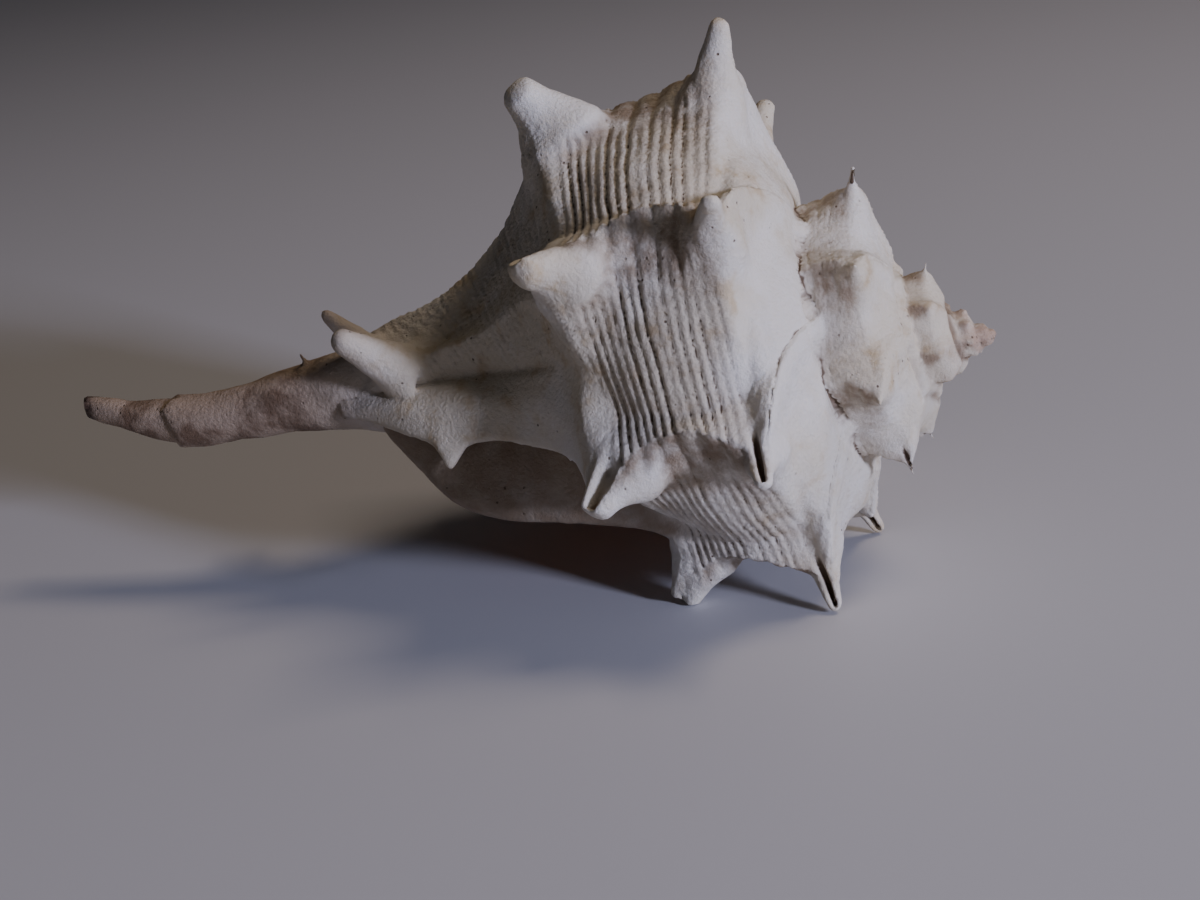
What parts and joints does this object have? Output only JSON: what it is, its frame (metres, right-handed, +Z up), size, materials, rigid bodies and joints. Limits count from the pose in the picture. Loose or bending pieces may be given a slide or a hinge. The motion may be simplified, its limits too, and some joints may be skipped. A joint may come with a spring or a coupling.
{
  "type": "murex shell",
  "caption": "Spiny sea snail shell with a low spire, rows of stout spines on its varices, a long straight canal and an open aperture below.",
  "frame": {"origin": "middle of the bounding box's footprint, on the surface the shell rests on", "axes": "+X along the shell's axis towards the apex, +Y away from the viewer's side towards the outer lip, +Z up"},
  "size_m": [0.0796, 0.0512, 0.0447],
  "materials": {
    "shell": "matt chalky shell, glossy inside the aperture"
  },
  "bodies": {
    "root": {"murex_shell": "shell"}
  },
  "joints": []
}
